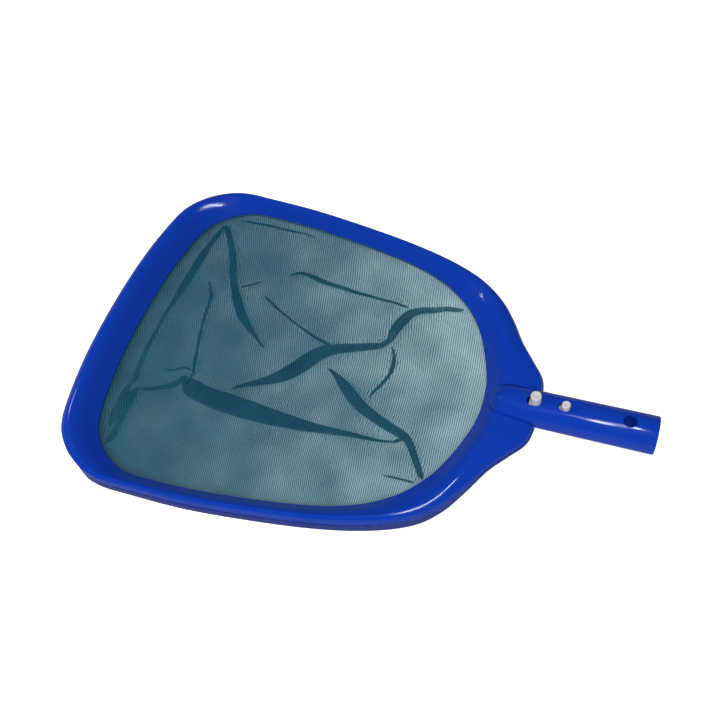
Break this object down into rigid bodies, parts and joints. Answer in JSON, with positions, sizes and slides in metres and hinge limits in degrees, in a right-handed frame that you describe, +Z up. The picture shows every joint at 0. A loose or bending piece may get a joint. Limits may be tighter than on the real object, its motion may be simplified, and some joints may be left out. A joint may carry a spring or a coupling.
{
  "type": "leaf skimmer net",
  "caption": "Pool leaf skimmer head: a moulded scoop rim clamps a fine mesh bag, with a tube handle and sprung lock buttons for a telescopic pole.",
  "frame": {"origin": "bottom centre of the whole part, at the height of the lower release button's tip", "axes": "+X along the handle towards its open end, +Y towards one long side, +Z up out of the net's mouth"},
  "size_m": [0.4777, 0.312, 0.0459],
  "materials": {
    "rim_plastic": "gloss",
    "lower_plastic": "gloss",
    "handle_plastic": "gloss",
    "clip_nylon": "satin",
    "screw_steel": "satin",
    "net_mesh": "fine mesh",
    "hem_tape": "woven tape",
    "hem_cord": "braided"
  },
  "bodies": {
    "frame": {"upper_frame": "rim_plastic", "lower_frame": "lower_plastic", "rim_screws": "screw_steel", "flange_screws": "screw_steel", "net_hem": "hem_tape", "hem_cord": "hem_cord", "net_bag": "net_mesh", "handle_tube": "handle_plastic", "clip_bend": "clip_nylon"},
    "upper_clip": {"clip_arm_upper": "clip_nylon", "release_button_upper": "clip_nylon", "lock_pin_upper": "clip_nylon"},
    "lower_clip": {"clip_arm_lower": "clip_nylon", "release_button_lower": "clip_nylon", "lock_pin_lower": "clip_nylon"}
  },
  "joints": [
    {"name": "upper_clip_squeeze", "type": "hinge", "parent": "frame", "child": "upper_clip", "pos_m": [0.20578, 0, 0.02812], "axis": [0, -1, 0], "range_deg": [0, 8.6], "stiffness_Nm_per_rad": 5.5, "springref_deg": -2.86},
    {"name": "lower_clip_squeeze", "type": "hinge", "parent": "frame", "child": "lower_clip", "pos_m": [0.20599, 0, 0.02492], "axis": [0, 1, 0], "range_deg": [0, 8.6], "stiffness_Nm_per_rad": 5.5, "springref_deg": -2.86}
  ]
}
